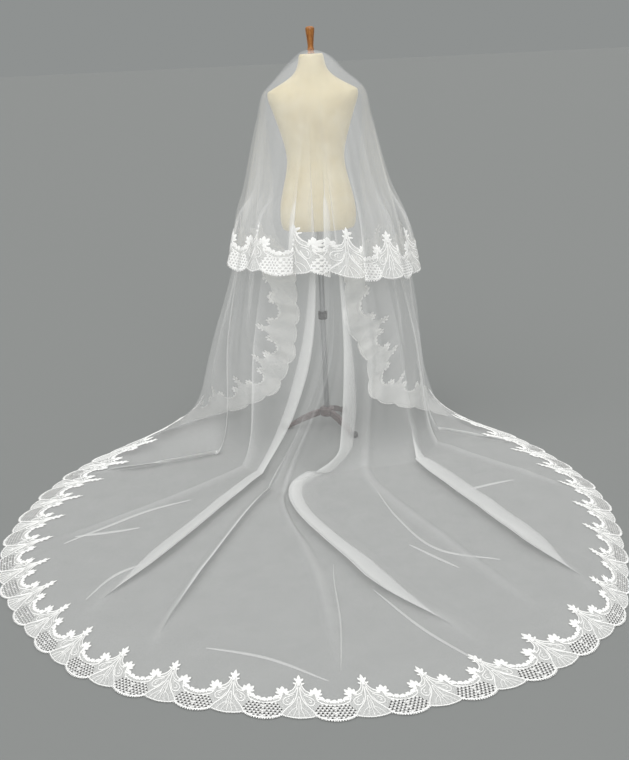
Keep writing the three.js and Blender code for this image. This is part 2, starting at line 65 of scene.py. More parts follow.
# Long tier, left front edge round the back to the right one: place on the support, knee, foot, middle,
# edge (a point, or an angle on the train), fold out while hanging, ridge on the floor, its flap while
# hanging and on the floor, side
LONG_ROWS = [
    (-1.0, (-172, 142, 1010), (-180, 176, 880), (-178, 198, 790), (-105, 220, 600), 0, 0, 0, 0, 1),
    (-0.97, (-214, 142, 900), (-266, 172, 660), (-292, 196, 490), (-100, 230, 425), 0, 0, 0, 0, 1),
    (-0.94, (-240, 134, 850), (-300, 182, 510), (-308, 208, 318), (-140, 242, 208), 14, 10, 0, 0, 1),
    (-0.9, (-270, 116, 800), (-352, 170, 420), (-370, 198, 215), (-232, 242, 64), 0, 0, 0, 0, 1),
    (-0.86, (-302, 76, 740), (-430, 105, 330), (-464, 118, 180), (-432, 206, 0), 14, 10, 0, 0, 1),
    (-0.81, (-344, 10, 670), (-474, 10, 300), (-518, 12, 140), (-660, 40, 0), 8, 0, 0, 0, 1),
    (-0.7, (-352, -150, 480), (-432, -262, 0), (-700, -372, 0), 153, 18, 24, 0.45, 0.7, -1),
    (-0.5, (-255, -262, 460), (-330, -412, 0), (-640, -730, 0), 188, 16, 10, 0.4, 0.2, 1),
    (-0.06, (-72, -362, 440), (-258, -500, 0), (-510, -1010, 0), 222, 30, 26, 1.0, 1.1, -1),
    (0.0, (4, -378, 430), (-214, -634, 0), (-396, -1200, 0), 240, 12, 24, 0.1, 0.7, -1),
    (0.03, (26, -378, 430), (-164, -672, 0), (-50, -1290, 0), 274, 8, 10, 0, 0, 1),
    (0.08, (88, -364, 420), (44, -520, 0), (92, -1230, 0), 302, 32, 26, 1.05, 1.0, 1),
    (0.28, (170, -345, 430), (150, -480, 0), (360, -1090, 0), 315, 10, 10, 0, 0, 1),
    (0.48, (275, -282, 440), (336, -420, 0), (590, -1030, 0), 328, 14, 26, 0.15, 1.1, 1),
    (0.62, (336, -180, 450), (424, -262, 0), (690, -560, 0), 5, 16, 10, 0.5, 0, 1),
    (0.72, (362, -70, 450), (440, -110, 0), (640, -250, 0), 33, 12, 18, 0, 0.4, 1),
    (0.81, (360, 26, 590), (406, 18, 230), (462, 0, 70), (640, -96, 0), 8, 0, 0, 0, 1),
    (0.86, (332, 84, 700), (372, 124, 350), (382, 142, 196), (346, 166, 0), 14, 10, 0, 0, 1),
    (0.9, (292, 120, 760), (330, 176, 400), (330, 196, 190), (202, 224, 26), 0, 0, 0, 0, 1),
    (0.94, (252, 136, 820), (304, 188, 490), (316, 204, 340), (168, 236, 214), 14, 10, 0, 0, 1),
    (0.97, (218, 144, 890), (262, 178, 640), (276, 202, 460), (92, 232, 366), 0, 0, 0, 0, 1),
    (1.0, (174, 144, 1010), (182, 178, 870), (180, 200, 772), (98, 222, 585), 0, 0, 0, 0, 1),
]

# Short tier: place on the support, belly, middle, lace hem, flute, flap, side
SHORT_ROWS = [
    (-1.0, (-180, 172, 980), (-188, 206, 816), (-110, 236, 630), 0, 0, 1),
    (-0.93, (-240, 146, 990), (-290, 200, 870), (-250, 246, 680), 14, 0, 1),
    (-0.82, (-280, 24, 990), (-311, 30, 895), (-349, 50, 702), 6, 0, 1),
    (-0.66, (-238, -150, 990), (-286, -186, 915), (-334, -222, 728), 14, 0, 1),
    (-0.42, (-160, -228, 990), (-200, -280, 918), (-240, -334, 730), 20, 0.3, -1),
    (-0.16, (-74, -246, 990), (-92, -308, 914), (-110, -366, 724), 26, 0.62, -1),
    (0.08, (26, -248, 990), (28, -310, 906), (22, -370, 716), 26, 0.7, 1),
    (0.34, (128, -240, 990), (146, -296, 880), (158, -352, 688), 24, 0.5, 1),
    (0.58, (210, -190, 990), (258, -238, 860), (296, -286, 672), 18, 0.3, 1),
    (0.74, (262, -84, 990), (330, -106, 848), (368, -128, 658), 14, 0, 1),
    (0.86, (276, 60, 990), (338, 84, 832), (368, 108, 640), 14, 0, 1),
    (0.94, (240, 150, 980), (288, 206, 816), (244, 250, 628), 14, 0, 1),
    (1.0, (182, 174, 970), (188, 208, 796), (104, 238, 604), 0, 0, 1),
]

# How far each tier lies off the crest, turn and first free line of the support
LONG_LIFT = ((0, 0, 0), (0, 0, 0), (0, 0, 0))
SHORT_LIFT = ((2, 1, 5), (5, -6, 4), (9, -13, 0))

# Lowest tulle and lace above the floor, and the lace's net above the tulle
CLOTH_CLEAR = 0.9
LACE_CLEAR = 0.2
LACE_ABOVE = 1.2
# One repeat of the lace along an edge, the width its motif is drawn to, and where the tulle under it ends
LACE_REPEAT = 184
MOTIF_WIDTH = 192
MOTIF_HALF = MOTIF_WIDTH / 2
TULLE_HEM = 12

# A fold takes at most this share of the way to the next row, lies over fully from this flap on,
# and counts as fully gathered at this height
FOLD_SHARE = 0.48
FULL_FLAP = 0.4
FULL_HEIGHT = 30


def smooth(x):
    """Eases from 0 to 1."""
    x = np.clip(x, 0, 1)
    return x * x * (3 - 2 * x)


def unit(v):
    return v / np.maximum(np.linalg.norm(v, axis=-1, keepdims=True), 1e-9)


def curve_through(points, at):
    """Points on soft curves through points[n, m], one curve for each place in at[m]."""
    points = np.broadcast_to(points, (points.shape[0], len(at), 3))
    last = points.shape[0] - 1
    at = np.clip(at, 0, last)
    i = np.minimum(at.astype(int), last - 1)
    f = (at - i)[:, None]
    m = np.arange(len(at))
    p1, p2 = points[i, m], points[i + 1, m]
    p0 = np.where((i > 0)[:, None], points[np.maximum(i - 1, 0), m], 2 * p1 - p2)
    p3 = np.where((i + 2 <= last)[:, None], points[np.minimum(i + 2, last), m], 2 * p2 - p1)

    def step(a, b):
        return np.sqrt(np.linalg.norm(b - a, axis=1, keepdims=True))
    d0, d1, d2 = step(p0, p1), np.maximum(step(p1, p2), 1e-3), step(p2, p3)
    d0, d2 = np.where(d0 < 1e-3, d1, d0), np.where(d2 < 1e-3, d1, d2)
    a = ((p1 - p0) / d0 - (p2 - p0) / (d0 + d1) + (p2 - p1) / d1) * d1
    b = ((p2 - p1) / d1 - (p3 - p1) / (d1 + d2) + (p3 - p2) / d2) * d1
    return p1 + a * f + (3 * (p2 - p1) - 2 * a - b) * f**2 + (2 * (p1 - p2) + a + b) * f**3


def train_edge(angle):
    """The train's outline at an angle in degrees, from the right round by the front gap."""
    c, s = math.cos(math.radians(angle)), math.sin(math.radians(angle))
    if s > 0:
        power = 2 / (SQUARE_LEFT_BACK if c < 0 else SQUARE_RIGHT_BACK)
    else:
        power = 2 / (SQUARE_LEFT_FRONT if c < 0 else SQUARE_RIGHT_FRONT)
    return (TRAIN_X + TRAIN_ACROSS * math.copysign(abs(c) ** power, c),
            TRAIN_Y + TRAIN_ALONG * math.copysign(abs(s) ** power, s), 0)


def support_point(line, hang, lift):
    """Where a row at a place on the support crosses one of its three lines."""
    places = np.array([row[0] for row in SUPPORT])
    points = np.array([row[1 + line] for row in SUPPORT], float)[:, None]
    point = curve_through(points, np.interp([hang], places, np.arange(len(places))))[0]
    return point + np.array(lift[line]) * (hang, 1, 1)


class Tier:
    """A tier of the veil: rows run across it, levels down it from its crest to its lace edge."""

    def __init__(self, hangs, lines, lift, folds, sway):
        levels = [[support_point(line, hang, lift) for hang in hangs] for line in range(3)]
        self.levels = [np.array(level, float)[:, None] for level in levels + lines]
        self.rows, self.last = len(hangs), len(self.levels) - 1
        self.folds, self.sway = folds, sway

    def base(self, q, t):
        """The smooth cloth without its folds."""
        down = np.stack([curve_through(level, q) for level in self.levels])
        point = curve_through(down, t)
        point[:, 0] += self.sway(q, t)
        point[:, 2] = np.maximum(point[:, 2], 0)
        return point

    def cloth(self, q, t):
        """The cloth with its folds, and how gathered it is at each point."""
        d = 0.02
        top = self.rows - 1
        point = self.base(q, t)
        across = unit(self.base(np.minimum(q + d, top), t) - self.base(np.maximum(q - d, 0), t))
        down = unit(self.base(q, np.minimum(t + d, self.last)) - self.base(q, np.maximum(t - d, 0)))
        out = unit(np.cross(down, across))
        k = np.clip(q.astype(int), 0, top - 1)
        gap = np.linalg.norm(self.base(k.astype(float), t) - self.base(k + 1.0, t), axis=1)
        gathered = np.zeros(len(q))
        for row in (k, k + 1):
            height, flap, width, side = self.folds(row, t)
            width = np.maximum(np.minimum(width, FOLD_SHARE * gap), 1e-6)
            u = np.clip((q - row) * gap / width, -1, 1) * side
            plain = ((1 + np.cos(np.pi * u)) / 2) ** 1.4
            rise = smooth((u + 0.65) / 1.1)
            fall = np.cos(np.pi / 2 * np.clip((u - 0.45) / 0.55, 0, 1)) ** 2
            mix = np.clip(flap / FULL_FLAP, 0, 1)
            share = plain * (1 - mix) + rise * fall * mix
            point = point + out * (height * share)[:, None]
            point = point - across * (side * flap * width * np.sin(np.pi * u))[:, None]
            gathered += share * np.clip(height / FULL_HEIGHT, 0, 1)
        gathered += 0.5 * smooth((t - 3.3) / 0.8) * (1 - smooth((point[:, 2] - 40) / 120))
        ripple = self.ripple(q, t, point)
        point = point + out * ripple[:, None]
        point[:, 2] = np.maximum(point[:, 2], CLOTH_CLEAR)
        return point, gathered

    def ripple(self, q, t, point):
        """Slack between the folds: soft flutes where it hangs, slight swells on the floor."""
        hanging = smooth((t - 1.6) / 1.2) * smooth((point[:, 2] - 30) / 250)
        flutes = (np.sin(2 * np.pi * (1.7 * q + 0.35 * np.sin(2.1 * q)))
                  + 0.6 * np.sin(2 * np.pi * (2.9 * q + 0.3)))
        x, y = point[:, 0], point[:, 1]
        swell = (np.sin(x / 61 + 0.8 * np.sin(y / 97)) * np.sin(y / 83 + 0.6 * np.sin(x / 121))
                 + 0.7 * np.sin(x / 34 - y / 47))
        inside_lace = 1 - smooth((t - self.last + 0.95) / 0.3)
        laid = (1 - smooth(point[:, 2] / 60)) * smooth(t - 3) * inside_lace
        return 3.4 * flutes * hanging + 2.4 * np.maximum(swell, 0) * laid

    def reach(self, q, distance):
        """The level that lies a distance in from the lace edge."""
        edge = np.full(len(q), float(self.last))
        length = np.linalg.norm(self.base(q, edge - 1) - self.base(q, edge), axis=1)
        return self.last - distance / length

    def grid(self, steps, fold_columns, between):
        """Row and level places of the cloth's threads, close together on the folds."""
        t_line = np.concatenate([level + np.arange(n) / n for level, n in enumerate(steps)] + [[self.last]])
        k = np.arange(self.rows)
        nodes = np.stack([self.base(k.astype(float), np.full(self.rows, t)) for t in t_line])
        gap = np.linalg.norm(np.diff(nodes, axis=1), axis=2)
        columns = []
        edges = []
        for row in k:
            _, _, width, _ = self.folds(np.full(len(t_line), row), t_line)
            left = np.minimum(width / gap[:, max(row - 1, 0)], FOLD_SHARE)
            right = np.minimum(width / gap[:, min(row, self.rows - 2)], FOLD_SHARE)
            left, right = left * (row > 0), right * (row < k[-1])
            edges.append((row - left, row + right))
        for row in k:
            low, high = edges[row]
            for u in np.linspace(-1, 1, fold_columns):
                place = row + (row - low) * u if u < 0 else row + (high - row) * u
                if (row == 0 and u < 0) or (row == k[-1] and u > 0):
                    continue
                columns.append(place)
            if row < k[-1]:
                for f in np.arange(1, between + 1) / (between + 1):
                    columns.append(high + (edges[row + 1][0] - high) * f)
        q = np.stack(columns)
        t = np.broadcast_to(t_line, q.shape).copy()
        hem = t > self.last - 1
        ends = self.reach(q[hem], TULLE_HEM)
        t[hem] = self.last - 1 + (t[hem] - self.last + 1) * (ends - self.last + 1)
        return q, t


LONG_PLEAT = np.array([row[5] for row in LONG_ROWS], float)
LONG_RIDGE = np.array([row[6] for row in LONG_ROWS], float)
LONG_HANG_FLAP = np.array([row[7] for row in LONG_ROWS], float)
LONG_FLOOR_FLAP = np.array([row[8] for row in LONG_ROWS], float)
LONG_SIDE = np.array([row[9] for row in LONG_ROWS], float)
SHORT_FLUTE = np.array([row[4] for row in SHORT_ROWS], float)
SHORT_FLAP = np.array([row[5] for row in SHORT_ROWS], float)
SHORT_SIDE = np.array([row[6] for row in SHORT_ROWS], float)


def long_folds(row, t):
    """Height, flap, half width and side of a row's fold, growing as it hangs and fading at the lace."""
    hanging = smooth((t - 1.8) / 1.4)
    floor = smooth((t - 3.4) / 0.9)
    fade = 1 - smooth((t - 5.1) / 0.72)
    height = (LONG_PLEAT[row] * hanging * (1 - floor) + LONG_RIDGE[row] * floor) * fade
    flap = (LONG_HANG_FLAP[row] * hanging * (1 - floor) + LONG_FLOOR_FLAP[row] * floor) * fade
    width = np.where(LONG_FLOOR_FLAP[row] > 0.9, 74, 40)
    return height, flap, width, LONG_SIDE[row]


def long_sway(q, t):
    """The middle fold of the train swings to the left where it meets the floor."""
    swing = smooth((t - 3.72) / 0.55) * (1 - smooth((t - 4.3) / 0.75))
    return -150 * swing * np.interp(q, [9, 10, 11, 12, 13], [0, 0, 1, 0.2, 0])


def short_folds(row, t):
    """The short tier's flutes, growing from the shoulders to the hem."""
    grown = smooth((t - 1.5) / 2.6)
    return SHORT_FLUTE[row] * grown, SHORT_FLAP[row] * grown, np.full(np.shape(t), 52.0), SHORT_SIDE[row]


long_tier = Tier([row[0] for row in LONG_ROWS],
                 [[row[i] for row in LONG_ROWS] for i in (1, 2, 3)]
                 + [[row[4] if isinstance(row[4], tuple) else train_edge(row[4]) for row in LONG_ROWS]],
                 LONG_LIFT, long_folds, long_sway)
short_tier = Tier([row[0] for row in SHORT_ROWS], [[row[i] for row in SHORT_ROWS] for i in (1, 2, 3)],
                  SHORT_LIFT, short_folds, lambda q, t: 0)


def new_piece(name, mesh, materials, replaced=()):
    """A piece of the part on the root body, in place of its solids."""
    piece = bpy.data.objects.new(name, mesh)
    bpy.context.scene.collection.objects.link(piece)
    for material in materials:
        mesh.materials.append(material)
    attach(piece, "root")
    if replaced:
        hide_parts(*replaced)
    return piece


def mesh_from(name, points, faces, flat_places=None, gathered=None, face_slots=None):
    """A smooth mesh from points in millimetres."""
    mesh = bpy.data.meshes.new(name)
    mesh.from_pydata((FORM_AXIS + np.asarray(points) * MM).tolist(), [], faces)
    mesh.polygons.foreach_set("use_smooth", np.ones(len(mesh.polygons), bool))
    if face_slots is not None:
        mesh.polygons.foreach_set("material_index", face_slots)
    if flat_places is not None:
        corner = np.zeros(len(mesh.loops), int)
        mesh.loops.foreach_get("vertex_index", corner)
        layer = mesh.uv_layers.new(name="cloth")
        layer.data.foreach_set("uv", np.asarray(flat_places)[corner].astype(np.float32).ravel())
    if gathered is not None:
        layer = mesh.attributes.new("gathered", "FLOAT", "POINT")
        layer.data.foreach_set("value", gathered.astype(np.float32))
    mesh.update()
    return mesh


def finish_nodes(name, colour, roughness):
    """A new finish with its colour and roughness set."""
    material = bpy.data.materials.new(name)
    material.use_nodes = True
    shader = material.node_tree.nodes["Principled BSDF"]
    shader.inputs["Base Color"].default_value = (*colour, 1)
    shader.inputs["Roughness"].default_value = roughness
    return material, material.node_tree, shader


def add(tree, kind, **values):
    """A node with its sockets or settings given by name."""
    node = tree.nodes.new(kind)
    for key, value in values.items():
        if key in node.inputs:
            node.inputs[key].default_value = value
        else:
            setattr(node, key, value)
    return node


def ramp(tree, source, stops):
    """Colour blended between two stops of place and colour."""
    node = tree.nodes.new("ShaderNodeValToRGB")
    for element, (place, colour) in zip(node.color_ramp.elements, (stops[0], stops[-1])):
        element.position, element.color = place, colour
    tree.links.new(source, node.inputs["Fac"])
    return node.outputs["Color"]


def bump(tree, shader, source, strength, distance):
    """Fine relief on the surface."""
    node = add(tree, "ShaderNodeBump", Strength=strength, Distance=distance)
    tree.links.new(source, node.inputs["Height"])
    tree.links.new(node.outputs["Normal"], shader.inputs["Normal"])


def grey(value):
    return (value, value, value, 1)


def tulle_finish():
    """Sheer net: thinly covering, more so where it is gathered."""
    material, tree, shader = finish_nodes("tulle", (0.93, 0.93, 0.92), 0.7)
    shader.inputs["Sheen Weight"].default_value = 0.25
    place = add(tree, "ShaderNodeTexCoord")
    mesh_holes = add(tree, "ShaderNodeTexVoronoi", Scale=520.0, feature="DISTANCE_TO_EDGE")
    tree.links.new(place.outputs["Object"], mesh_holes.inputs["Vector"])
    cover = ramp(tree, mesh_holes.outputs["Distance"], [(0.0, grey(0.17)), (0.35, grey(0.09))])
    gathered = add(tree, "ShaderNodeAttribute", attribute_name="gathered")
    more = add(tree, "ShaderNodeMath", operation="MULTIPLY_ADD")
    more.inputs[1].default_value = 0.2
    tree.links.new(gathered.outputs["Fac"], more.inputs[0])
    tree.links.new(cover, more.inputs[2])
    cloudy = add(tree, "ShaderNodeTexNoise", Scale=9.0, Detail=3.0)
    tree.links.new(place.outputs["Object"], cloudy.inputs["Vector"])
    drift = add(tree, "ShaderNodeMath", operation="MULTIPLY_ADD")
    drift.inputs[1].default_value = 0.06
    tree.links.new(cloudy.outputs["Fac"], drift.inputs[0])
    tree.links.new(more.outputs["Value"], drift.inputs[2])
    tree.links.new(drift.outputs["Value"], shader.inputs["Alpha"])
    return material


def lace_finish():
    """White cotton cord and stitching."""
    material, tree, shader = finish_nodes("lace_thread", (0.95, 0.945, 0.92), 0.85)
    shader.inputs["Sheen Weight"].default_value = 0.2
    place = add(tree, "ShaderNodeTexCoord")
    thread = add(tree, "ShaderNodeTexNoise", Scale=900.0, Detail=2.0)
    tree.links.new(place.outputs["Object"], thread.inputs["Vector"])
    shades = [(0.3, (0.86, 0.855, 0.83, 1)), (0.6, (0.97, 0.965, 0.95, 1))]
    tree.links.new(ramp(tree, thread.outputs["Fac"], shades), shader.inputs["Base Color"])
    bump(tree, shader, thread.outputs["Fac"], 0.4, 0.0006)
    return material


def lace_net_finish():
    """The fine net ground between the cords."""
    material, tree, shader = finish_nodes("lace_net", (0.94, 0.94, 0.92), 0.8)
    place = add(tree, "ShaderNodeTexCoord")
    holes = add(tree, "ShaderNodeTexVoronoi", Scale=330.0, feature="DISTANCE_TO_EDGE")
    tree.links.new(place.outputs["Object"], holes.inputs["Vector"])
    cover = ramp(tree, holes.outputs["Distance"], [(0.05, grey(0.56)), (0.3, grey(0.18))])
    tree.links.new(cover, shader.inputs["Alpha"])
    return material


def linen_finish():
    """Cream woven cover with a visible thread and a little unevenness."""
    material, tree, shader = finish_nodes("linen_cover", (0.74, 0.67, 0.5), 0.92)
    shader.inputs["Sheen Weight"].default_value = 0.15
    place = add(tree, "ShaderNodeTexCoord")
    weave = []
    for axis in ("X", "Z"):
        wave = add(tree, "ShaderNodeTexWave", Scale=190.0, Distortion=1.2, bands_direction=axis)
        wave.inputs["Detail"].default_value = 2.0
        tree.links.new(place.outputs["Object"], wave.inputs["Vector"])
        weave.append(wave.outputs["Fac"])
    cross = add(tree, "ShaderNodeMath", operation="MULTIPLY")
    tree.links.new(weave[0], cross.inputs[0])
    tree.links.new(weave[1], cross.inputs[1])
    patch = add(tree, "ShaderNodeTexNoise", Scale=14.0, Detail=5.0)
    tree.links.new(place.outputs["Object"], patch.inputs["Vector"])
    shades = [(0.3, (0.74, 0.62, 0.36, 1)), (0.7, (0.84, 0.74, 0.48, 1))]
    tree.links.new(ramp(tree, patch.outputs["Fac"], shades), shader.inputs["Base Color"])
    bump(tree, shader, cross.outputs["Value"], 0.35, 0.0006)
    return material


def wood_finish(name, dark, light, roughness, stretch):
    """Straight-grained turned or shaped wood under a satin finish."""
    material, tree, shader = finish_nodes(name, light, roughness)
    shader.inputs["Coat Weight"].default_value = 0.25
    place = add(tree, "ShaderNodeTexCoord")
    turn = add(tree, "ShaderNodeMapping")
    turn.inputs["Scale"].default_value = stretch
    tree.links.new(place.outputs["Object"], turn.inputs["Vector"])
    grain = add(tree, "ShaderNodeTexNoise", Scale=60.0, Detail=6.0, Distortion=0.6)
    tree.links.new(turn.outputs["Vector"], grain.inputs["Vector"])
    tree.links.new(ramp(tree, grain.outputs["Fac"], [(0.35, (*dark, 1)), (0.65, (*light, 1))]),
                   shader.inputs["Base Color"])
    bump(tree, shader, grain.outputs["Fac"], 0.2, 0.0004)
    return material


def hard_finish(name, colour, roughness, metallic, grain):
    """Metal or rubber with a fine speckle."""
    material, tree, shader = finish_nodes(name, colour, roughness)
    shader.inputs["Metallic"].default_value = metallic
    place = add(tree, "ShaderNodeTexCoord")
    speck = add(tree, "ShaderNodeTexNoise", Scale=grain, Detail=4.0)
    tree.links.new(place.outputs["Object"], speck.inputs["Vector"])
    dark = tuple(0.75 * c for c in colour)
    tree.links.new(ramp(tree, speck.outputs["Fac"], [(0.3, (*dark, 1)), (0.7, (*colour, 1))]),
                   shader.inputs["Base Color"])
    wear = [(0.3, grey(roughness + 0.1)), (0.7, grey(roughness - 0.05))]
    tree.links.new(ramp(tree, speck.outputs["Fac"], wear), shader.inputs["Roughness"])
    bump(tree, shader, speck.outputs["Fac"], 0.15, 0.0003)
    return material


TULLE = tulle_finish()
LACE = lace_finish()
LACE_NET = lace_net_finish()
LINEN = linen_finish()
FINIAL_WOOD = wood_finish("turned_wood", (0.24, 0.075, 0.012), (0.46, 0.18, 0.035), 0.34, (3, 3, 0.4))
STAND_WOOD = wood_finish("stand_wood", (0.055, 0.035, 0.034), (0.12, 0.08, 0.078), 0.45, (0.8, 0.8, 3))
STEEL = hard_finish("pole_steel", (0.5, 0.51, 0.52), 0.32, 0.9, 240.0)
IRON = hard_finish("black_iron", (0.03, 0.03, 0.031), 0.5, 0.2, 300.0)
RUBBER = hard_finish("black_rubber", (0.022, 0.022, 0.022), 0.75, 0.0, 420.0)


# Sharp small creases on the floor, x and y down each one
FLOOR_CREASES = [
    [(-877, -1001), (-723, -845), (-501, -690)], [(-737, -1367), (-658, -1222), (-577, -1146)],
    [(-854, -953), (-760, -930), (-647, -899)], [(-355, -1661), (-179, -1722), (-24, -1826)],
    [(243, -1108), (310, -1195), (379, -1272)], [(436, -721), (540, -690), (659, -650)],
    [(127, -564), (226, -925), (333, -1150), (506, -1232)], [(3, -1218), (4, -1538), (10, -1791)],
    [(116, -1381), (247, -1620), (379, -1790)], [(478, -793), (604, -1037), (685, -1249)],
]


def crease_strips(paths):
    """Narrow pinched ridges of the cloth along each path, pointed at both ends."""
    points, faces = [], []
    for path in paths:
        path = np.array([(x, y, 0) for x, y in path], float)[:, None]
        at = np.linspace(0, len(path) - 1, 40)
        line = curve_through(path, at)
        way = unit(np.gradient(line, axis=0))
        side = np.stack([-way[:, 1], way[:, 0], 0 * at], axis=1)
        grown = np.sin(np.pi * np.linspace(0.02, 0.98, len(at))) ** 0.5
        first = len(points)
        for p, n, g in zip(line, side, grown):
            p = p + n * 6 * math.sin(p[0] / 70 + p[1] / 90)
            points += [p + n * 3.2 * g + (0, 0, 1.5), p + n * g + (0, 0, 2 + 6 * g),
                       p - n * 2.6 * g + (0, 0, 1.5)]
        for i in range(len(line) - 1):
            a = first + 3 * i
            faces += [(a, a + 1, a + 4, a + 3), (a + 1, a + 2, a + 5, a + 4)]
    return np.array(points), faces


def tulle_sheet(name, tier, steps, fold_columns, between, node, creases=()):
    """A tier's tulle: steps between levels, columns on each fold and between folds."""
    q, t = tier.grid(steps, fold_columns, between)
    points, gathered = tier.cloth(q.ravel(), t.ravel())
    columns, levels = q.shape
    net = points.reshape(columns, levels, 3)
    along = np.cumsum(np.linalg.norm(np.diff(net, axis=0, prepend=net[:1]), axis=2), axis=0)
    below = np.cumsum(np.linalg.norm(np.diff(net, axis=1, prepend=net[:, :1]), axis=2), axis=1)
    flat_places = np.stack([along, below], axis=2).reshape(-1, 2) * MM
    ids = np.arange(columns * levels).reshape(columns, levels)
    corners = [ids[:-1, :-1], ids[:-1, 1:], ids[1:, 1:], ids[1:, :-1]]
    faces = np.stack(corners, axis=2).reshape(-1, 4).tolist()
    if creases:
        extra, strips = crease_strips(creases)
        faces += [tuple(v + len(points) for v in face) for face in strips]
        points = np.concatenate([points, extra])
        flat_places = np.concatenate([flat_places, extra[:, :2] * MM])
        gathered = np.concatenate([gathered, np.full(len(extra), 1.0)])
    mesh = mesh_from(name, points, faces, flat_places, gathered)
    return new_piece(name, mesh, [TULLE], [node])


# Inner contour of the lace's fine net: place from the peak, and how far in it reaches
NET_PLACES = [0, 5, 9, 14, 22, 32, 38, 46, 55, 64, 80, 96]
NET_REACH = [176, 164, 144, 128, 117, 110, 114, 122, 104, 84, 76, 72]
NET_COLUMNS, NET_ROWS = 37, 6


class Motif:
    """One repeat of the lace: x along the edge from its peak, d in from the edge, h above the net."""

    def __init__(self):
        self.points, self.faces = [], []

    def cord(self, path, width, height, tapered=True, steps=3):
        """A raised cord along a path of x, d."""
        path = np.array([(x, d, 0) for x, d in path], float)[:, None]
        at = np.linspace(0, len(path) - 1, (len(path) - 1) * steps + 1)
        line = curve_through(path, at)[:, :2]
        way = unit(np.gradient(line, axis=0))
        side = np.stack([-way[:, 1], way[:, 0]], axis=1)
        half = np.full(len(line), width / 2)
        if tapered:
            half[[0, -1]] *= 0.5
        first = len(self.points)
        for p, s, w in zip(line, side, half):
            self.points += [(*(p + s * w), 0.2), (*p, height), (*(p - s * w), 0.2)]
        for i in range(len(line) - 1):
            a = first + 3 * i
            self.faces += [(a, a + 1, a + 4, a + 3), (a + 1, a + 2, a + 5, a + 4)]

    def leaf(self, x, d, angle, length, width, height=2.0):
        """A raised leaf or petal from its root at x, d; angle is from the inward direction."""
        c, s = math.cos(math.radians(angle)), math.sin(math.radians(angle))
        outline = [(0, 0.18), (0.25, 0.72), (0.55, 1.0), (0.82, 0.72), (1.0, 0.12)]
        rim = [(f * length, w * width / 2) for f, w in outline]
        rim += [(f * length, -w * width / 2) for f, w in outline[::-1]]
        first = len(self.points)
        for a, b in rim:
            self.points.append((x + a * s + b * c, d + a * c - b * s, 0.2))
        self.points.append((x + 0.5 * length * s, d + 0.5 * length * c, height))
        for i in range(len(rim)):
            self.faces.append((first + i, first + (i + 1) % len(rim), first + len(rim)))

    def flower(self, x, d, radius, petals, turn=0):
        """Petals round a point."""
        for i in range(petals):
            self.leaf(x, d, turn + 360 * i / petals, radius, radius * 0.95, 2.2)

    def ribbon(self, a, b, width):
        """A flat stitched bar from a to b."""
        a, b = np.array(a), np.array(b)
        way = (b - a) / max(np.linalg.norm(b - a), 1e-9)
        side = np.array([-way[1], way[0]]) * width / 2
        first = len(self.points)
        self.points += [(*corner, 0.7) for corner in (a + side, a - side, b - side, b + side)]
        self.faces.append((first, first + 1, first + 2, first + 3))

    def ground(self):
        """The fine net that carries the cords, up to the inner contour."""
        columns, rows = np.linspace(-MOTIF_HALF, MOTIF_HALF, NET_COLUMNS), NET_ROWS
        first = len(self.points)
        for x in columns:
            inner = np.interp(abs(x), NET_PLACES, NET_REACH)
            for d in np.linspace(scallop(x) + 1, inner, rows):
                self.points.append((x, d, 0.1))
        for i in range(len(columns) - 1):
            for j in range(rows - 1):
                a = first + i * rows + j
                self.faces.append((a, a + 1, a + 1 + rows, a + rows))

    def facing(self):
        """Points and faces, every face turned to the outside of the cloth."""
        points = np.array(self.points)
        faces = []
        for face in self.faces:
            p = points[list(face)][:, :2]
            area = np.sum(p[:, 0] * np.roll(p[:, 1], -1) - np.roll(p[:, 0], -1) * p[:, 1])
            faces.append(face if area > 0 else face[::-1])
        return points, faces


def scallop(x):
    """How far in the finished edge lies at x from a peak."""
    return float(np.interp(abs(x), [0, 19, 36, 43, 47, 56, 71, 96], [6, 8, 12, 17, 17, 10, 4, 0]))


def swag_top(x):
    """How far in the honeycomb of the swag reaches."""
    return float(np.interp(abs(x), [42, 52, 66, 96], [44, 68, 63, 56]))


# Cords on each side of the peak: path of x, d, then width and height
SIDE_CORDS = [
    # double cords sweep from the peak out to the flowers on its flanks
    ([(4, 172), (7, 150), (11, 132), (19, 118), (30, 110), (41, 107)], 3.6, 1.9),
    ([(2, 152), (5, 134), (9, 118), (15, 107), (25, 100), (38, 97)], 2.8, 1.7),
    # the bell below the peak, open net inside
    ([(2, 132), (4, 112), (7, 92), (12, 75), (20, 60), (31, 45), (40, 30), (46, 17)], 3.4, 1.8),
    ([(14, 100), (26, 92), (38, 84), (43, 71), (38, 59), (28, 58), (19, 69), (13, 86)], 2.6, 1.6),
    ([(26, 84), (33, 78), (34, 70), (28, 69)], 2.2, 1.4),
    ([(3, 46), (10, 30), (16, 10)], 1.6, 1.1),
    ([(5, 50), (19, 36), (30, 14)], 1.6, 1.1),
    # top of the swag
    ([(47, 90), (54, 74), (66, 66), (80, 60), (96, 58)], 3.2, 1.8),
]
# Leaves and petals on each side: x, d, angle, length, width, height
SIDE_LEAVES = [
    # flower on the flank
    (45, 103, 6, 29, 14, 2.6), (41, 104, -20, 21, 11, 2.4), (49, 103, 34, 25, 12, 2.4),
    (51, 101, 72, 16, 10, 2.2), (40, 102, -66, 13, 9, 2.2), (46, 104, 150, 17, 11, 2.2), (53, 94, 120, 14, 9, 2.0),
    # tip of the peak
    (3, 154, 34, 19, 9, 2.4), (6, 143, 58, 13, 7, 2.0),
    # along the top of the swag
    (68, 72, 12, 13, 6, 2.0), (86, 66, 4, 13, 6, 2.0), (54, 80, -30, 11, 6, 2.0),
]
# Small flowers along the top of the swag: x, d, turn; one more stands in its middle
SWAG_FLOWERS = [(62, 86, 20), (79, 78, 50)]
FLOWER_RADIUS, FLOWER_PETALS = 8.5, 5
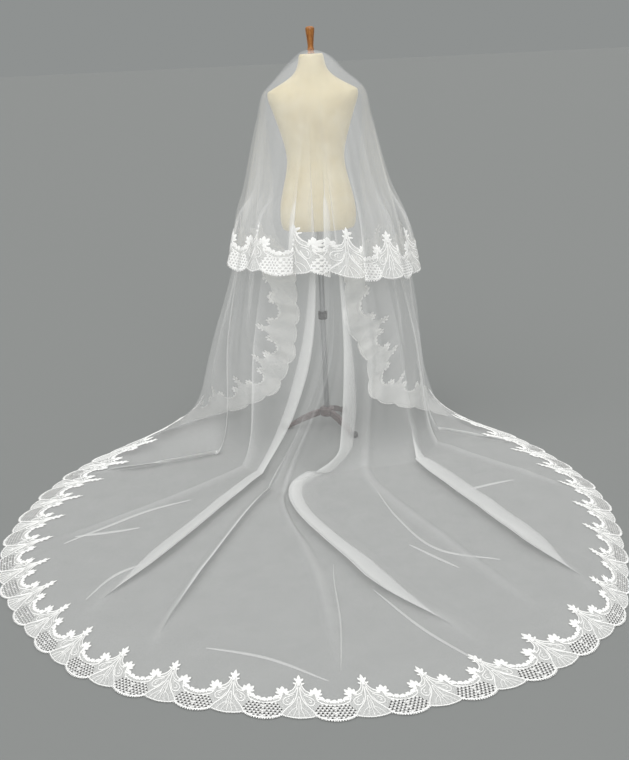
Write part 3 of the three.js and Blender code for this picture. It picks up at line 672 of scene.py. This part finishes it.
# Where the bell's edge gives way to the swag's
BELL_END = 46


def lace_motif():
    """One whole repeat, its fine net last."""
    motif = Motif()
    for side in (1, -1):
        for path, width, height in SIDE_CORDS:
            motif.cord([(side * x, d) for x, d in path], width, height)
        for x, d, angle, *sizes in SIDE_LEAVES:
            motif.leaf(side * x, d, side * angle, *sizes)
        for x, d, turn in SWAG_FLOWERS:
            motif.flower(side * x, d, FLOWER_RADIUS, FLOWER_PETALS, side * turn)
        # finished edge with its fringe
        swag_edge = np.linspace(BELL_END, MOTIF_HALF, 11)
        motif.cord([(side * x, scallop(x) + 1) for x in swag_edge], 4.4, 1.9, False, 2)
        for x in np.arange(BELL_END, MOTIF_HALF, 3.4):
            motif.leaf(side * x, scallop(x) + 1, 180 + side * 9 * math.sin(x), 7.5, 2.4, 0.9)
        for x in np.arange(2, BELL_END - 2, 4.2):
            motif.leaf(side * x, scallop(x) + 1, 180, 4.5, 1.8, 0.7)
    motif.flower(MOTIF_HALF, 74, FLOWER_RADIUS, FLOWER_PETALS, 10)
    motif.leaf(0, 138, 0, 46, 13, 2.7)
    motif.cord([(-6, 36), (-6, 58), (-3, 84), (0, 93), (3, 84), (6, 58), (6, 36)], 2.4, 1.5)
    motif.cord([(0, 74), (0, 52), (0, 30), (0, 8)], 1.8, 1.2)
    motif.cord([(x, scallop(x) + 1) for x in np.linspace(-BELL_END, BELL_END, 17)], 3.0, 1.5, False, 2)
    honeycomb(motif)
    threads = len(motif.faces)
    motif.ground()
    return (*motif.facing(), threads)


def honeycomb(motif, pitch=11.3, thread=5.6):
    """The swag's ground: six-sided holes in thick white stitching."""
    reach = pitch / math.sqrt(3)
    for row in range(7):
        for column in range(-10, 10):
            x = (column + 0.5 * (row % 2)) * pitch
            d = 3 + row * pitch * math.sqrt(3) / 2
            for angle in (30, 90, 150):
                a, b = math.radians(angle), math.radians(angle + 60)
                ends = [(x + reach * math.sin(c), d + reach * math.cos(c)) for c in (a, b)]
                mid_x, mid_d = (ends[0][0] + ends[1][0]) / 2, (ends[0][1] + ends[1][1]) / 2
                in_swag = -MOTIF_HALF <= mid_x < MOTIF_HALF and scallop(mid_x) + 1 < mid_d < swag_top(mid_x)
                beside_bell = abs(mid_x) > 44 and mid_d < 3 * (abs(mid_x) - 32)
                if in_swag and beside_bell:
                    motif.ribbon(*ends, thread)


class LaceBand:
    """The strip of cloth along a tier's edge that the lace is worked on."""
    PER_REPEAT, ROWS, STEP = 24, 16, 14.0

    def __init__(self, tier):
        fine = np.linspace(0, tier.rows - 1, (tier.rows - 1) * 40 + 1)
        edge = tier.base(fine, np.full(len(fine), float(tier.last)))
        along = np.concatenate([[0], np.cumsum(np.linalg.norm(np.diff(edge, axis=0), axis=1))])
        self.repeats = round(along[-1] / LACE_REPEAT)
        count = self.repeats * self.PER_REPEAT + 1
        q = np.interp(np.linspace(0, along[-1], count), along, fine)
        insets = self.STEP * np.arange(self.ROWS)
        levels = np.stack([np.minimum(tier.reach(q, inset), tier.last) for inset in insets], axis=1)
        points, _ = tier.cloth(np.repeat(q, self.ROWS), levels.ravel())
        self.points = points.reshape(count, self.ROWS, 3)
        side, inward = np.gradient(self.points, axis=0), np.gradient(self.points, axis=1)
        self.out = unit(np.cross(-inward, side))

    def place(self, along, inset, height):
        """Points at repeats along the edge, millimetres in from it and above it."""
        a = np.clip(along * self.PER_REPEAT, 0, len(self.points) - 1.001)
        b = np.clip(inset / self.STEP, -0.9, self.ROWS - 1.001)
        i, j = a.astype(int), np.maximum(b.astype(int), 0)
        f, g = (a - i)[:, None], (b - j)[:, None]

        def blend(values):
            return ((values[i, j] * (1 - f) + values[i + 1, j] * f) * (1 - g)
                    + (values[i, j + 1] * (1 - f) + values[i + 1, j + 1] * f) * g)
        return blend(self.points) + unit(blend(self.out)) * height[:, None]


def lace_piece(name, tier, node):
    """A tier's edging: the motif repeated along its edge."""
    band = LaceBand(tier)
    motif, faces, threads = lace_motif()
    points, all_faces = [], []
    for i in range(band.repeats):
        along = i + 0.5 + motif[:, 0] / MOTIF_WIDTH
        points.append(band.place(along, motif[:, 1], motif[:, 2] + LACE_ABOVE))
        shift = i * len(motif)
        all_faces += [tuple(v + shift for v in face) for face in faces]
    points = np.concatenate(points)
    points[:, 2] = np.maximum(points[:, 2], LACE_CLEAR)
    net = np.tile(np.arange(len(faces)) >= threads, band.repeats).astype(np.int32)
    mesh = mesh_from(name, points, all_faces, face_slots=net)
    return new_piece(name, mesh, [LACE, LACE_NET], [node])


long_tulle = tulle_sheet("long_tier_tulle_sheet", long_tier, [5, 6, 26, 38, 36, 22], 13, 9, "long_tier_tulle",
                         FLOOR_CREASES)
long_lace = lace_piece("long_tier_lace_edging", long_tier, "long_tier_lace")
short_tulle = tulle_sheet("short_tier_tulle_sheet", short_tier, [5, 6, 22, 20, 22], 15, 8, "short_tier_tulle")
short_lace = lace_piece("short_tier_lace_edging", short_tier, "short_tier_lace")


def shaped_copy(node, name, material, levels=0, bevel=0.0):
    """The node's own form, joined up, smoothed and given soft edges."""
    bpy.ops.object.select_all(action="DESELECT")
    piece = new_piece(name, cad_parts[node].data.copy(), [], [node])
    piece.data.materials.clear()
    piece.data.materials.append(material)
    piece.select_set(True)
    bpy.context.view_layer.objects.active = piece
    bpy.ops.object.mode_set(mode="EDIT")
    bpy.ops.mesh.select_all(action="SELECT")
    bpy.ops.mesh.remove_doubles(threshold=0.00002)
    bpy.ops.mesh.tris_convert_to_quads()
    bpy.ops.mesh.normals_make_consistent(inside=False)
    bpy.ops.object.mode_set(mode="OBJECT")
    if bevel:
        rounded = piece.modifiers.new("soft_edges", "BEVEL")
        rounded.width, rounded.segments, rounded.limit_method = bevel, 3, "ANGLE"
        bpy.ops.object.modifier_apply(modifier=rounded.name)
    if levels:
        fine = piece.modifiers.new("smooth_form", "SUBSURF")
        fine.levels = fine.render_levels = levels
        bpy.ops.object.modifier_apply(modifier=fine.name)
    bpy.ops.object.shade_smooth_by_angle(angle=math.radians(40))
    return piece


shaped_copy("form_torso", "torso_cover", LINEN, 2, 0.004)
shaped_copy("form_finial", "neck_finial", FINIAL_WOOD, 2)
shaped_copy("stand_pole", "steel_pole", STEEL, 0, 0.001)
shaped_copy("stand_collar", "height_collar", IRON, 0, 0.0015)
shaped_copy("stand_knob", "clamp_knob", IRON, 2)
shaped_copy("stand_hub", "tripod_hub", STAND_WOOD, 0, 0.002)
for place in ("left", "right", "back"):
    shaped_copy(f"stand_leg_{place}", f"tripod_leg_{place}", STAND_WOOD, 0, 0.0025)
    shaped_copy(f"stand_foot_{place}", f"rubber_foot_{place}", RUBBER, 0, 0.0015)

# Studio: the floor's reach and its drop below the feet in millimetres
FLOOR_REACH, FLOOR_DROP = 60000, 1.2
# Soft lights: name, place from the form's axis in metres, spread in degrees, strength
LIGHTS = [
    ("high_left", (-1.6, -2.0, 3.4), 70, 1.7),
    ("high_right", (2.2, -0.4, 3.2), 90, 0.9),
    ("front_window", (0.6, 2.6, 2.4), 80, 0.5),
    ("low_fill", (0.2, -3.0, 1.0), 50, 0.85),
]
# Camera: place from the form's axis in metres, then how far it looks down, round and tilted in degrees
CAMERA_PLACE = (0, -4.120, 1.55)
CAMERA_PITCH, CAMERA_YAW, CAMERA_ROLL = 18.13, -0.64, -2.80
CAMERA_LENS, PICTURE_HEIGHT = 50, 36


def studio():
    """The plain pale floor."""
    corners = [(-1, -1), (1, -1), (1, 1), (-1, 1)]
    points = [(x * FLOOR_REACH, y * FLOOR_REACH, -FLOOR_DROP) for x, y in corners]
    mesh = mesh_from("studio_floor", points, [(0, 1, 2, 3)])
    material, tree, shader = finish_nodes("studio_grey", (0.248, 0.255, 0.25), 0.95)
    shader.inputs["Specular IOR Level"].default_value = 0.05
    mesh.materials.append(material)
    floor = bpy.data.objects.new("studio_floor", mesh)
    bpy.context.scene.collection.objects.link(floor)


def soft_light(name, place, spread, strength):
    """An even light from a broad window of the studio, shining on the middle of the veil."""
    light = bpy.data.lights.new(name, "SUN")
    light.angle, light.energy = math.radians(spread), strength
    lamp = bpy.data.objects.new(name, light)
    bpy.context.scene.collection.objects.link(lamp)
    back = unit(np.array(place, float))
    right = unit(np.cross((0, 0.001, 1), back))
    turn = Matrix((right, np.cross(back, right), back)).transposed().to_4x4()
    turn.translation = FORM_AXIS + np.array(place)
    lamp.matrix_world = turn


def photo_camera():
    """Behind the form, looking down on the train."""
    pitch, yaw, roll = (math.radians(angle) for angle in (CAMERA_PITCH, CAMERA_YAW, CAMERA_ROLL))
    ahead = np.array([math.sin(yaw) * math.cos(pitch), math.cos(yaw) * math.cos(pitch), -math.sin(pitch)])
    level = np.array([math.cos(yaw), -math.sin(yaw), 0])
    above = np.cross(level, ahead)
    right = math.cos(roll) * level + math.sin(roll) * above
    up = -math.sin(roll) * level + math.cos(roll) * above
    camera = bpy.data.cameras.new("photo_camera")
    camera.lens, camera.sensor_fit, camera.sensor_height = CAMERA_LENS, "VERTICAL", PICTURE_HEIGHT
    holder = bpy.data.objects.new("photo_camera", camera)
    bpy.context.scene.collection.objects.link(holder)
    turn = Matrix((right, up, -ahead)).transposed().to_4x4()
    turn.translation = FORM_AXIS + np.array(CAMERA_PLACE)
    holder.matrix_world = turn
    bpy.context.scene.camera = holder


studio()
for light_row in LIGHTS:
    soft_light(*light_row)
world = bpy.data.worlds.new("studio_air")
world.use_nodes = True
backdrop = world.node_tree.nodes["Background"]
backdrop.inputs["Color"].default_value = (0.93, 0.97, 0.96, 1)
backdrop.inputs["Strength"].default_value = 0.295
bpy.context.scene.world = world
bpy.context.scene.view_settings.view_transform = "Standard"
bpy.context.scene.cycles.transparent_max_bounces = 48
photo_camera()
